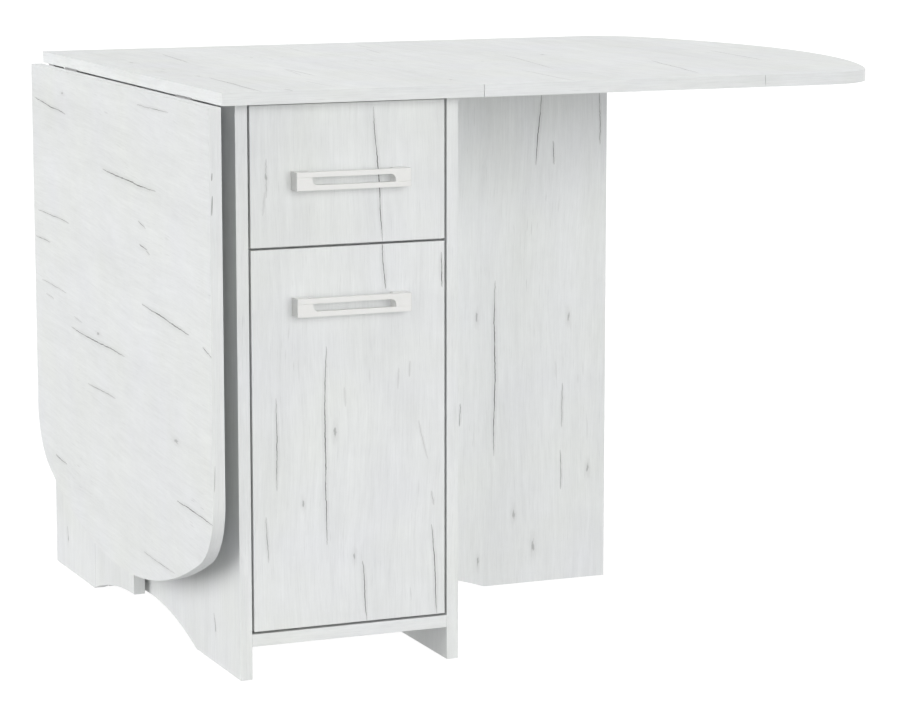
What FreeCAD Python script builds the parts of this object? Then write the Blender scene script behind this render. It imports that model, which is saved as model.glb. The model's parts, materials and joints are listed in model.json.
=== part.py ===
"""A gateleg table with a drawer and a door in its narrow cabinet, in white laminated board.

Frame: millimetres, +Z up. The origin is on the floor, in the middle of the table as it stands
with its right leaf up and its left leaf hanging. X runs from the hanging leaf to the raised one,
Y from the drawer front to the back.
"""
import FreeCAD, Part
import math
import os
import Sketcher

doc = FreeCAD.newDocument("gateleg_table")

# ---------------------------------------------------------------- driving dimensions
SIZES = {
    # boards and the overall table
    "board": 16,
    "sheet_board": 3,
    "table_height": 750,
    "top_depth": 795,
    "leaf_length": 660,
    "leaf_corner": 96,
    "leaf_bow": 800,
    "seam_gap": 0.6,
    "front_overhang": 25,
    "rear_overhang": 25,
    "side_overhang": 25,
    # cabinet
    "cabinet_width": 300,
    "panel_foot": 177,
    "panel_arch": 31.5,
    "plinth_height": 43,
    "rail_width": 80,
    "inner_shelf_height": 300,
    "inner_shelf_setback": 60,
    "shelf_play": 1,
    "shelf_pin_radius": 2.5,
    "shelf_pin_reach": 8,
    "shelf_pin_inset": 60,
    # drawer front and door
    "front_gap": 3,
    "back_gap": 2,
    "drawer_front_height": 178,
    # gates
    "gate_offset": 5,
    "gate_past_rear": 10,
    "gate_foot": 188.75,
    "gate_arch": 31.5,
    "gate_gap": 6.6,
    "gate_clearance": 6,
    "gate_stand": 0.3,
    "pad_length": 25,
    "pad_inset": 6,
    # butt hinges of leaves and gates
    "hinge_plate": 1,
    "hinge_play": 0.3,
    "pin_play": 0.05,
    "leaf_drop": 1.2,
    "leaf_knuckle": 1.8,
    "leaf_pin": 0.8,
    "leaf_hinge_length": 60,
    "leaf_hinge_wing": 23,
    "leaf_hinge_spread": 250,
    "gate_knuckle": 2.9,
    "gate_pin": 1.8,
    "gate_hinge_length": 70,
    "gate_hinge_wing": 22,
    "gate_hinge_foot": 130,
    "gate_hinge_head": 49,
    # drawer box and roller runners
    "drawer_length": 600,
    "drawer_side_height": 120,
    "drawer_lift": 17,
    "runner_space": 12.5,
    "runner_steel": 1.2,
    "runner_lift": 7,
    "roller_radius": 11,
    "roller_width": 6,
    "roller_play": 0.3,
    "axle_radius": 2,
    "runner_lip": 6.5,
    "runner_foot": 10,
    # concealed door hinges
    "cup_radius": 17.5,
    "cup_depth": 11.5,
    "cup_edge": 4.5,
    "cup_flange": 1.2,
    "cup_wall": 1.5,
    "cup_play": 0.1,
    "cup_flange_height": 60,
    "cup_flange_width": 25,
    "door_hinge_inset": 80,
    "cup_mouth_width": 18,
    "cup_mouth_height": 24,
    "link_pin_radius": 1.5,
    "link_width": 9,
    "link_thick": 4,
    "arm_width": 13,
    "arm_play": 0.4,
    "arm_length": 62,
    "arm_rise": 11,
    "arm_crank": 12,
    "arm_bend": 20,
    "plate_length": 44,
    "plate_wing": 18,
    "plate_height": 46,
    "plate_thick": 3,
    # handles
    "handle_length": 154,
    "handle_height": 23.2,
    "handle_reach": 21,
    "handle_plate": 7,
    "handle_foot": 20,
    "handle_strip": 6.6,
    "handle_window_inset": 21,
    "handle_curve": 7,
    "handle_groove": 0.5,
    "drawer_handle_height": 83,
    "door_handle_drop": 73,
}

sheet = doc.addObject("Spreadsheet::Sheet", "dims")
for row, (alias, value) in enumerate(SIZES.items(), start=1):
    sheet.set(f"A{row}", alias)
    sheet.set(f"B{row}", str(value))
    sheet.setAlias(f"B{row}", alias)
doc.recompute()

# ---------------------------------------------------------------- places worked out from them
MID = "((dims.board + dims.leaf_drop - dims.leaf_length - dims.seam_gap / 2) / 2)"
UNDER = "(dims.table_height - dims.board)"
FRONT = "(dims.front_overhang - dims.top_depth / 2)"
REAR = "(dims.top_depth / 2 - dims.rear_overhang)"
DEPTH = "(dims.top_depth - dims.front_overhang - dims.rear_overhang)"
INSIDE = "(dims.cabinet_width - 2 * dims.board)"
HALF_INSIDE = "(dims.cabinet_width / 2 - dims.board)"
BEHIND_FRONTS = f"({FRONT} + dims.board + dims.back_gap)"
INNER_DEPTH = f"({DEPTH} - dims.board - dims.back_gap)"
FLOOR_BOARD = "(dims.plinth_height + dims.board)"
FRONT_WIDTH = f"({INSIDE} - 2 * dims.front_gap)"
DRAWER_LOW = f"({UNDER} - dims.front_gap - dims.drawer_front_height)"
DOOR_LOW = f"({FLOOR_BOARD} + dims.front_gap)"
DOOR_TOP = f"({DRAWER_LOW} - dims.front_gap)"
LEAF_AXIS = "(dims.cabinet_width / 2 + dims.side_overhang + dims.seam_gap / 2)"
LEAF_AXIS_Z = f"({UNDER} - dims.leaf_drop)"
GATE_AXIS = "(dims.cabinet_width / 2 + dims.gate_gap / 2)"
GATE_Y = f"({FRONT} + {DEPTH} / 2 + dims.gate_offset)"
GATE_LENGTH = f"({DEPTH} / 2 - dims.gate_offset + dims.gate_past_rear)"
GATE_TOP = f"({UNDER} - dims.gate_clearance)"
BOX_HALF = f"({HALF_INSIDE} - dims.runner_space)"
BOX_LOW = f"({DRAWER_LOW} + dims.drawer_lift)"

QUARTER = math.pi / 2
Z_AXIS = FreeCAD.Rotation()
X_AXIS = FreeCAD.Rotation(FreeCAD.Vector(0, 1, 0), 90)
Y_AXIS = FreeCAD.Rotation(FreeCAD.Vector(1, 0, 0), -90)

nodes = []


# ---------------------------------------------------------------- helpers
def bind(thing, **expressions):
    """Tie properties of an object to expressions over the sheet."""
    for name, expression in expressions.items():
        thing.setExpression(name, expression)
    return thing


def place(thing, x, y, z, turn=Z_AXIS):
    """Put an object at x, y, z, each an expression, turned by a rotation."""
    thing.Placement = FreeCAD.Placement(FreeCAD.Vector(), turn)
    thing.setExpression("Placement.Base.x", x)
    thing.setExpression("Placement.Base.y", y)
    thing.setExpression("Placement.Base.z", z)
    return thing


def box(name, x, y, z, wide, deep, high):
    """A box from its low corner and its sizes along X, Y and Z."""
    made = doc.addObject("Part::Box", name)
    bind(made, Length=wide, Width=deep, Height=high)
    return place(made, x, y, z)


def rod(name, x, y, z, radius, length, turn=Z_AXIS):
    """A round rod from the middle of its end face, along Z unless it is turned."""
    made = doc.addObject("Part::Cylinder", name)
    bind(made, Radius=radius, Height=length)
    return place(made, x, y, z, turn)


def fuse(name, *pieces):
    made = doc.addObject("Part::MultiFuse", name)
    made.Shapes = list(pieces)
    made.Refine = True
    return made


def cut(name, base, *tools):
    """The base with all the tools taken out of it."""
    made = doc.addObject("Part::Cut", name)
    made.Base = base
    made.Tool = tools[0] if len(tools) == 1 else fuse(name + "_tools", *tools)
    return made


def group(name, pieces):
    """Several loose solids as one piece of the list, such as a row of hinge plates."""
    made = doc.addObject("Part::Compound", name)
    made.Links = list(pieces)
    return made


def node(label, made):
    """Give a finished piece its name."""
    made.Label = label
    nodes.append(made)
    return made


def new_sketch(body, name, role):
    """A sketch on one of the body's own origin planes."""
    sketch = body.newObject("Sketcher::SketchObject", name)
    plane = next(p for p in body.Origin.OriginFeatures if p.Role == role)
    sketch.AttachmentSupport = [(plane, "")]
    sketch.MapMode = "FlatFace"
    return sketch


def dimension(sketch, name, expression, *constraint):
    """A named dimension of a sketch, tied to the sheet."""
    index = sketch.addConstraint(Sketcher.Constraint(*constraint))
    sketch.renameConstraint(index, name)
    sketch.setExpression("Constraints." + name, expression)


def size(alias):
    return SIZES[alias]


def pad(body, sketch, name, length, reverse=False):
    made = body.newObject("PartDesign::Pad", name)
    made.Profile = sketch
    made.Reversed = reverse
    bind(made, Length=length)
    return made


def pocket(body, sketch, name, length, reverse=False):
    made = body.newObject("PartDesign::Pocket", name)
    made.Profile = sketch
    made.Reversed = reverse
    bind(made, Length=length)
    return made


def polygon(sketch, corners):
    """A closed outline through corners that are each two expressions, drawn first as a ring."""
    first, count = sketch.GeometryCount, len(corners)
    turns = [4 * QUARTER * k / count for k in range(count)]
    ring = [FreeCAD.Vector(math.cos(turn), math.sin(turn), 0) for turn in turns]
    for k in range(count):
        sketch.addGeometry(Part.LineSegment(ring[k], ring[(k + 1) % count]), False)
    for k in range(count):
        after = first + (k + 1) % count
        sketch.addConstraint(Sketcher.Constraint("Coincident", first + k, 2, after, 1))
    for k, (x, y) in enumerate(corners):
        line = first + k
        dimension(sketch, f"x{line}", x, "DistanceX", -1, 1, line, 1, ring[k].x)
        dimension(sketch, f"y{line}", y, "DistanceY", -1, 1, line, 1, ring[k].y)


def rectangle(sketch, low_x, low_y, wide, high):
    """A rectangle from its low corner and its two sizes."""
    far_x, far_y = f"{low_x} + {wide}", f"{low_y} + {high}"
    polygon(sketch, [(low_x, low_y), (far_x, low_y), (far_x, far_y), (low_x, far_y)])


def arch_radius(half_span, rise):
    return f"(({half_span})^2 + ({rise})^2) / (2 * {rise})"


# ---------------------------------------------------------------- shaped boards
def leaf_board(name):
    """A table leaf, flat, with its straight edge on Y and its rounded end along +X.

    The end is one wide bow that runs through two corner arcs into the straight sides.
    """
    half, reach = size("top_depth") / 2, size("leaf_length")
    corner, bow = size("leaf_corner"), size("leaf_bow")
    across = half - corner
    along = reach - bow + ((bow - corner) ** 2 - across**2) ** 0.5
    turn = FreeCAD.Vector(along - (reach - bow), across, 0)
    tip = FreeCAD.Vector(1, 0, 0).getAngle(turn)
    up = FreeCAD.Vector(0, 0, 1)
    low_corner = Part.Circle(FreeCAD.Vector(along, -across, 0), up, corner)
    high_corner = Part.Circle(FreeCAD.Vector(along, across, 0), up, corner)
    bow_circle = Part.Circle(FreeCAD.Vector(reach - bow, 0, 0), up, bow)

    body = doc.addObject("PartDesign::Body", name)
    sketch = new_sketch(body, name + "_outline", "XY_Plane")
    sketch.addGeometry(
        [
            Part.LineSegment(FreeCAD.Vector(0, -half, 0), FreeCAD.Vector(along, -half, 0)),
            Part.ArcOfCircle(low_corner, -QUARTER, -tip),
            Part.ArcOfCircle(bow_circle, -tip, tip),
            Part.ArcOfCircle(high_corner, tip, QUARTER),
            Part.LineSegment(FreeCAD.Vector(along, half, 0), FreeCAD.Vector(0, half, 0)),
            Part.LineSegment(FreeCAD.Vector(0, half, 0), FreeCAD.Vector(0, -half, 0)),
        ],
        False,
    )
    for k in range(4):
        sketch.addConstraint(Sketcher.Constraint("Tangent", k, 2, k + 1, 1))
    sketch.addConstraint(Sketcher.Constraint("Coincident", 4, 2, 5, 1))
    sketch.addConstraint(Sketcher.Constraint("Coincident", 5, 2, 0, 1))
    sketch.addConstraint(Sketcher.Constraint("Horizontal", 0))
    sketch.addConstraint(Sketcher.Constraint("Horizontal", 4))
    sketch.addConstraint(Sketcher.Constraint("Symmetric", 5, 1, 5, 2, -1, 1))
    sketch.addConstraint(Sketcher.Constraint("Equal", 1, 3))
    dimension(sketch, "depth", "dims.top_depth", "DistanceY", 5, 2, 5, 1, 2 * half)
    dimension(sketch, "corner", "dims.leaf_corner", "Radius", 1, corner)
    dimension(sketch, "bow", "dims.leaf_bow", "Radius", 2, bow)
    dimension(
        sketch, "reach", "dims.leaf_length - dims.leaf_bow", "DistanceX", -1, 1, 2, 3, reach - bow
    )
    pad(body, sketch, name + "_pad", "dims.board")
    return body


def arched_panel(name):
    """A cabinet side: an upright board whose bottom edge is an arch between two feet."""
    deep = size("top_depth") - size("front_overhang") - size("rear_overhang")
    high, foot, rise = size("table_height") - size("board"), size("panel_foot"), size("panel_arch")
    radius = ((deep / 2 - foot) ** 2 + rise**2) / (2 * rise)
    body = doc.addObject("PartDesign::Body", name)
    sketch = new_sketch(body, name + "_outline", "YZ_Plane")
    points = [(0, 0), (foot, 0), (deep - foot, 0), (deep, 0), (deep, high), (0, high)]
    ends = [FreeCAD.Vector(a, b, 0) for a, b in points]
    for k in (0, 2, 3, 4, 5):
        sketch.addGeometry(Part.LineSegment(ends[k], ends[(k + 1) % 6]), False)
    centre = FreeCAD.Vector(deep / 2, rise - radius, 0)
    low = FreeCAD.Vector(1, 0, 0).getAngle(ends[2] - centre)
    high_angle = FreeCAD.Vector(1, 0, 0).getAngle(ends[1] - centre)
    circle = Part.Circle(centre, FreeCAD.Vector(0, 0, 1), radius)
    sketch.addGeometry(Part.ArcOfCircle(circle, low, high_angle), False)
    sketch.addConstraint(Sketcher.Constraint("Coincident", 0, 2, 5, 2))
    sketch.addConstraint(Sketcher.Constraint("Coincident", 1, 1, 5, 1))
    for k in (1, 2, 3):
        sketch.addConstraint(Sketcher.Constraint("Coincident", k, 2, k + 1, 1))
    sketch.addConstraint(Sketcher.Constraint("Coincident", 4, 2, 0, 1))
    sketch.addConstraint(Sketcher.Constraint("Coincident", 0, 1, -1, 1))
    for k, kind in ((0, "Horizontal"), (1, "Horizontal"), (3, "Horizontal")):
        sketch.addConstraint(Sketcher.Constraint(kind, k))
    for k in (2, 4):
        sketch.addConstraint(Sketcher.Constraint("Vertical", k))
    sketch.addConstraint(Sketcher.Constraint("Equal", 0, 1))
    dimension(sketch, "deep", DEPTH, "DistanceX", 0, 1, 1, 2, deep)
    dimension(sketch, "high", UNDER, "DistanceY", 2, 1, 2, 2, high)
    dimension(sketch, "foot", "dims.panel_foot", "DistanceX", 0, 1, 0, 2, foot)
    span = f"{DEPTH} / 2 - dims.panel_foot"
    sketch.addConstraint(Sketcher.Constraint("PointOnObject", 1, 1, -1))
    dimension(sketch, "arch", arch_radius(span, "dims.panel_arch"), "Radius", 5, radius)
    pad(body, sketch, name + "_pad", "dims.board")
    return body


def gate_board(name):
    """A gate, upright along X from its hinge, with a foot at its free end and a half arch."""
    deep = size("top_depth") - size("front_overhang") - size("rear_overhang")
    long = deep / 2 - size("gate_offset") + size("gate_past_rear")
    foot, rise = size("gate_foot"), size("gate_arch")
    high = size("table_height") - size("board") - size("gate_clearance")
    radius = ((long - foot) ** 2 + rise**2) / (2 * rise)
    centre = FreeCAD.Vector(0, rise - radius, 0)
    body = doc.addObject("PartDesign::Body", name)
    sketch = new_sketch(body, name + "_outline", "XZ_Plane")
    points = [(long - foot, 0), (long, 0), (long, high), (0, high), (0, rise)]
    ends = [FreeCAD.Vector(a, b, 0) for a, b in points]
    for k in range(4):
        sketch.addGeometry(Part.LineSegment(ends[k], ends[k + 1]), False)
    low = FreeCAD.Vector(1, 0, 0).getAngle(ends[0] - centre)
    circle = Part.Circle(centre, FreeCAD.Vector(0, 0, 1), radius)
    sketch.addGeometry(Part.ArcOfCircle(circle, low, QUARTER), False)
    for k in range(3):
        sketch.addConstraint(Sketcher.Constraint("Coincident", k, 2, k + 1, 1))
    sketch.addConstraint(Sketcher.Constraint("Coincident", 3, 2, 4, 2))
    sketch.addConstraint(Sketcher.Constraint("Coincident", 4, 1, 0, 1))
    for k, kind in enumerate(("Horizontal", "Vertical", "Horizontal", "Vertical")):
        sketch.addConstraint(Sketcher.Constraint(kind, k))
    sketch.addConstraint(Sketcher.Constraint("PointOnObject", 0, 1, -1))
    sketch.addConstraint(Sketcher.Constraint("PointOnObject", 2, 2, -2))
    sketch.addConstraint(Sketcher.Constraint("PointOnObject", 4, 3, -2))
    dimension(sketch, "long", GATE_LENGTH, "DistanceX", -1, 1, 0, 2, long)
    dimension(sketch, "foot", "dims.gate_foot", "DistanceX", 0, 1, 0, 2, foot)
    dimension(sketch, "high", GATE_TOP, "DistanceY", 1, 1, 1, 2, high)
    span = f"{GATE_LENGTH} - dims.gate_foot"
    dimension(sketch, "arch", arch_radius(span, "dims.gate_arch"), "Radius", 4, radius)
    pad(body, sketch, name + "_pad", "dims.board")
    return body


# ---------------------------------------------------------------- top and leaves
HINGE_SPOTS = ["- dims.leaf_hinge_spread", "dims.leaf_hinge_spread"]
LEAF_ROOM = "(dims.leaf_knuckle + dims.hinge_play)"


def knuckle_seats(name, x):
    """The round seats that the hinge knuckles need in a board's lower edge."""
    long = "dims.leaf_hinge_length + 2 * dims.hinge_play"
    return [
        rod(f"{name}_{k}", x, f"{spot} - ({long}) / 2", LEAF_AXIS_Z, LEAF_ROOM, long, Y_AXIS)
        for k, spot in enumerate(HINGE_SPOTS)
    ]


def make_top_and_leaves():
    """The fixed top and its two leaves; a leaf turns about a line just under the top's edge."""
    left_x, right_x = f"{MID} - {LEAF_AXIS}", f"{MID} + {LEAF_AXIS}"
    wide = "(dims.cabinet_width + 2 * dims.side_overhang)"
    low_x, low_y = f"{MID} - {wide} / 2", "- dims.top_depth / 2"
    slab = box("top_slab", low_x, low_y, UNDER, wide, "dims.top_depth", "dims.board")
    seats = knuckle_seats("top_left_seat", left_x) + knuckle_seats("top_right_seat", right_x)
    node("table_top", cut("top_with_seats", slab, *seats))

    raised = place(leaf_board("right_leaf_board"), f"{right_x} + dims.seam_gap / 2", "0", UNDER)
    seats = knuckle_seats("right_leaf_seat", right_x)
    node("right_leaf", cut("right_leaf_with_seats", raised, *seats))

    outer, high_z = f"{left_x} - dims.leaf_drop - dims.board", f"{LEAF_AXIS_Z} - dims.seam_gap / 2"
    hanging = place(leaf_board("left_leaf_board"), outer, "0", high_z, X_AXIS)
    seats = knuckle_seats("left_leaf_seat", left_x)
    node("left_leaf", cut("left_leaf_with_seats", hanging, *seats))


# ---------------------------------------------------------------- butt hinges
def strip(name, axis, cross, start, long):
    """A flat bar along a hinge's axis; cross is its low corner and its sizes across that axis."""
    low_a, low_b, wide, high = cross
    if axis == "Y":
        return box(name, low_a, start, low_b, wide, long, high)
    return box(name, low_a, low_b, start, wide, high, long)


def round_bar(name, axis, line, start, radius, long):
    """A round bar on a hinge's axis, which is given by the two places across it."""
    if axis == "Y":
        return rod(name, line[0], start, line[1], radius, long, Y_AXIS)
    return rod(name, line[0], line[1], start, radius, long)


def hinge_half(name, axis, line, start, long, radius, pin, plate, tab, fixed):
    """One half of a butt hinge: a plate whose tabs are rolled into knuckles.

    The fixed half has the two outer knuckles and holds the pin between them. The moving half
    has the middle knuckle, bored for the pin.
    """
    pieces = [strip(name + "_plate", axis, plate, start, long)]
    third = f"({long}) / 3"
    for k in (0, 2) if fixed else (1,):
        low = f"{start} + {k} * {third} + dims.hinge_play / 2"
        tall = f"{third} - dims.hinge_play"
        pieces.append(strip(f"{name}_tab_{k}", axis, tab, low, tall))
        pieces.append(round_bar(f"{name}_knuckle_{k}", axis, line, low, radius, tall))
    if fixed:
        low = f"{start} + {third} / 2"
        pieces.append(round_bar(name + "_pin", axis, line, low, pin, f"2 * {third}"))
        return fuse(name, *pieces)
    bore = round_bar(name + "_bore", axis, line, start, f"{pin} + dims.pin_play", long)
    return cut(name, fuse(name + "_solid", *pieces), bore)


LEAF_WING = f"(dims.leaf_hinge_wing - {LEAF_ROOM})"
STEEL = "dims.hinge_plate"


def flat_half(x, sign):
    """Plate and tab of a hinge half that lies under a board, on the side given by sign."""
    low_z = f"{UNDER} - {STEEL}"
    if sign > 0:
        return (f"{x} + {LEAF_ROOM}", low_z, LEAF_WING, STEEL), (x, low_z, LEAF_ROOM, STEEL)
    far = f"{x} - dims.leaf_hinge_wing"
    return (far, low_z, LEAF_WING, STEEL), (f"{x} - {LEAF_ROOM}", low_z, LEAF_ROOM, STEEL)


def hanging_half(x):
    """Plate and tab of a hinge half on the inner face of the hanging leaf."""
    face, low_z = f"{x} - dims.leaf_drop", f"{LEAF_AXIS_Z} - dims.leaf_hinge_wing"
    return (face, low_z, STEEL, LEAF_WING), (face, f"{LEAF_AXIS_Z} - {LEAF_ROOM}", STEEL, LEAF_ROOM)


def make_leaf_hinges():
    for side, sign in (("left", -1), ("right", 1)):
        x = f"({MID} {'+' if sign > 0 else '-'} {LEAF_AXIS})"
        top_plate, top_tab = flat_half(x, -sign)
        leaf_plate, leaf_tab = flat_half(x, 1) if sign > 0 else hanging_half(x)
        top_halves, leaf_halves = [], []
        for k, spot in enumerate(HINGE_SPOTS):
            name = f"{side}_leaf_hinge_{k}"
            long = "dims.leaf_hinge_length"
            start, knuckle = f"{spot} - {long} / 2", "dims.leaf_knuckle"
            row = ("Y", (x, LEAF_AXIS_Z), start, long, knuckle, "dims.leaf_pin")
            top_halves.append(hinge_half(name + "_top", *row, top_plate, top_tab, True))
            leaf_halves.append(hinge_half(name + "_leaf", *row, leaf_plate, leaf_tab, False))
        node(f"{side}_leaf_hinge_top_plates", group(f"{side}_hinge_tops", top_halves))
        node(f"{side}_leaf_hinge_leaf_plates", group(f"{side}_hinge_leaves", leaf_halves))


GATE_ROOM = "(dims.gate_knuckle + dims.hinge_play)"
GATE_WING = f"(dims.gate_hinge_wing - {GATE_ROOM})"
HALF_GAP = "(dims.gate_gap / 2)"
GATE_HINGE_LEVELS = {
    "low": "dims.gate_hinge_foot",
    "high": f"({GATE_TOP} - dims.gate_hinge_head - dims.gate_hinge_length)",
}


def make_gates():
    """The left gate is folded behind its hanging leaf, the right one stands out under its leaf."""
    for side, sign in (("left", "-"), ("right", "+")):
        x = f"({MID} {sign} {GATE_AXIS})"
        gate = gate_board(side + "_gate_board")
        pad_at = f"({GATE_LENGTH} - dims.pad_inset - dims.pad_length)"
        pad_high = "dims.gate_clearance - dims.gate_stand"
        folded = side == "left"
        if folded:
            quarter_turn = FreeCAD.Rotation(FreeCAD.Vector(0, 0, 1), 90)
            face = f"{x} - {HALF_GAP} - dims.board"
            place(gate, face, GATE_Y, "0", quarter_turn)
            glide = ("dims.board", "dims.pad_length")
            glide_at = (face, f"{GATE_Y} + {pad_at}")
        else:
            place(gate, x, f"{GATE_Y} - {HALF_GAP}", "0")
            glide = ("dims.pad_length", "dims.board")
            glide_at = (f"{x} + {pad_at}", f"{GATE_Y} - {HALF_GAP} - dims.board")
        node(side + "_gate", gate)
        node(side + "_gate_pad", box(side + "_glide", *glide_at, GATE_TOP, *glide, pad_high))

        # the plates on the cabinet side lie in the gap and run to the rear
        beyond = f"{GATE_Y} + {GATE_ROOM}"
        face = f"{MID} + dims.cabinet_width / 2"
        if folded:
            face = f"{MID} - dims.cabinet_width / 2 - {STEEL}"
        side_plate = (face, beyond, STEEL, GATE_WING)
        side_tab = (face, GATE_Y, STEEL, GATE_ROOM)
        if folded:
            gate_face = f"{x} - {HALF_GAP}"
            gate_plate = (gate_face, beyond, STEEL, GATE_WING)
            gate_tab = (gate_face, GATE_Y, STEEL, GATE_ROOM)
        else:
            gate_face = f"{GATE_Y} - {HALF_GAP}"
            gate_plate = (f"{x} + {GATE_ROOM}", gate_face, GATE_WING, STEEL)
            gate_tab = (x, gate_face, GATE_ROOM, STEEL)
        sides, moving = [], []
        for level, low in GATE_HINGE_LEVELS.items():
            name = f"{side}_gate_hinge_{level}"
            long, knuckle = "dims.gate_hinge_length", "dims.gate_knuckle"
            row = ("Z", (x, GATE_Y), low, long, knuckle, "dims.gate_pin")
            sides.append(hinge_half(name + "_side", *row, side_plate, side_tab, True))
            moving.append(hinge_half(name + "_gate", *row, gate_plate, gate_tab, False))
        node(f"{side}_gate_hinge_side_plates", group(f"{side}_gate_hinge_sides", sides))
        node(f"{side}_gate_hinge_gate_plates", group(f"{side}_gate_hinge_gates", moving))


# ---------------------------------------------------------------- cabinet
RAIL_LOW = f"({UNDER} - dims.board)"
DIVIDER_LOW = f"({DRAWER_LOW} - dims.board)"
REAR_RAIL_Y = f"({REAR} - dims.rail_width)"
SHELF_PIN_SEAT = "(dims.board / 2)"


def shelf_pin_spots(side):
    """The start of each shelf pin's seat in one cabinet side: x, y and z."""
    z = "dims.inner_shelf_height - dims.shelf_pin_radius"
    x = f"{MID} - {HALF_INSIDE} - {SHELF_PIN_SEAT}" if side == "left" else f"{MID} + {HALF_INSIDE}"
    front = f"{FRONT} + dims.inner_shelf_setback + dims.shelf_pin_inset"
    return [(x, front, z), (x, f"{REAR} - dims.shelf_pin_inset", z)]


def make_cabinet():
    low_x = f"{MID} - {HALF_INSIDE}"
    for side, x in (
        ("left", f"{MID} - dims.cabinet_width / 2"),
        ("right", f"{MID} + {HALF_INSIDE}"),
    ):
        panel = place(arched_panel(side + "_side_board"), x, FRONT, "0")
        seats = [
            rod(f"{side}_pin_hole_{k}", *spot, "dims.shelf_pin_radius", SHELF_PIN_SEAT, X_AXIS)
            for k, spot in enumerate(shelf_pin_spots(side))
        ]
        node(side + "_side_panel", cut(side + "_side_cut", panel, *seats))

    board = "dims.board"
    for label, y, z, deep in (
        ("bottom_panel", FRONT, "dims.plinth_height", DEPTH),
        ("divider_panel", BEHIND_FRONTS, DIVIDER_LOW, INNER_DEPTH),
        ("top_front_rail", BEHIND_FRONTS, RAIL_LOW, "dims.rail_width"),
        ("top_rear_rail", REAR_RAIL_Y, RAIL_LOW, "dims.rail_width"),
    ):
        node(label, box(label + "_board", low_x, y, z, INSIDE, deep, board))
    node(
        "back_panel",
        box(
            "back_sheet",
            f"{MID} - dims.cabinet_width / 2 + dims.shelf_play",
            REAR,
            "dims.plinth_height",
            "dims.cabinet_width - 2 * dims.shelf_play",
            "dims.sheet_board",
            f"{UNDER} - dims.plinth_height - dims.shelf_play",
        ),
    )
    node(
        "inner_shelf",
        box(
            "shelf_board",
            f"{low_x} + dims.shelf_play",
            f"{FRONT} + dims.inner_shelf_setback",
            "dims.inner_shelf_height",
            f"{INSIDE} - 2 * dims.shelf_play",
            f"{DEPTH} - dims.inner_shelf_setback - dims.shelf_play",
            "dims.board",
        ),
    )
    pins = []
    for side in ("left", "right"):
        for k, (x, y, z) in enumerate(shelf_pin_spots(side)):
            length = f"{SHELF_PIN_SEAT} + dims.shelf_pin_reach"
            start = x if side == "left" else f"{x} - dims.shelf_pin_reach"
            name = f"{side}_shelf_pin_{k}"
            pins.append(rod(name, start, y, z, "dims.shelf_pin_radius", length, X_AXIS))
    node("shelf_pins", group("shelf_pin_set", pins))


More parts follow.
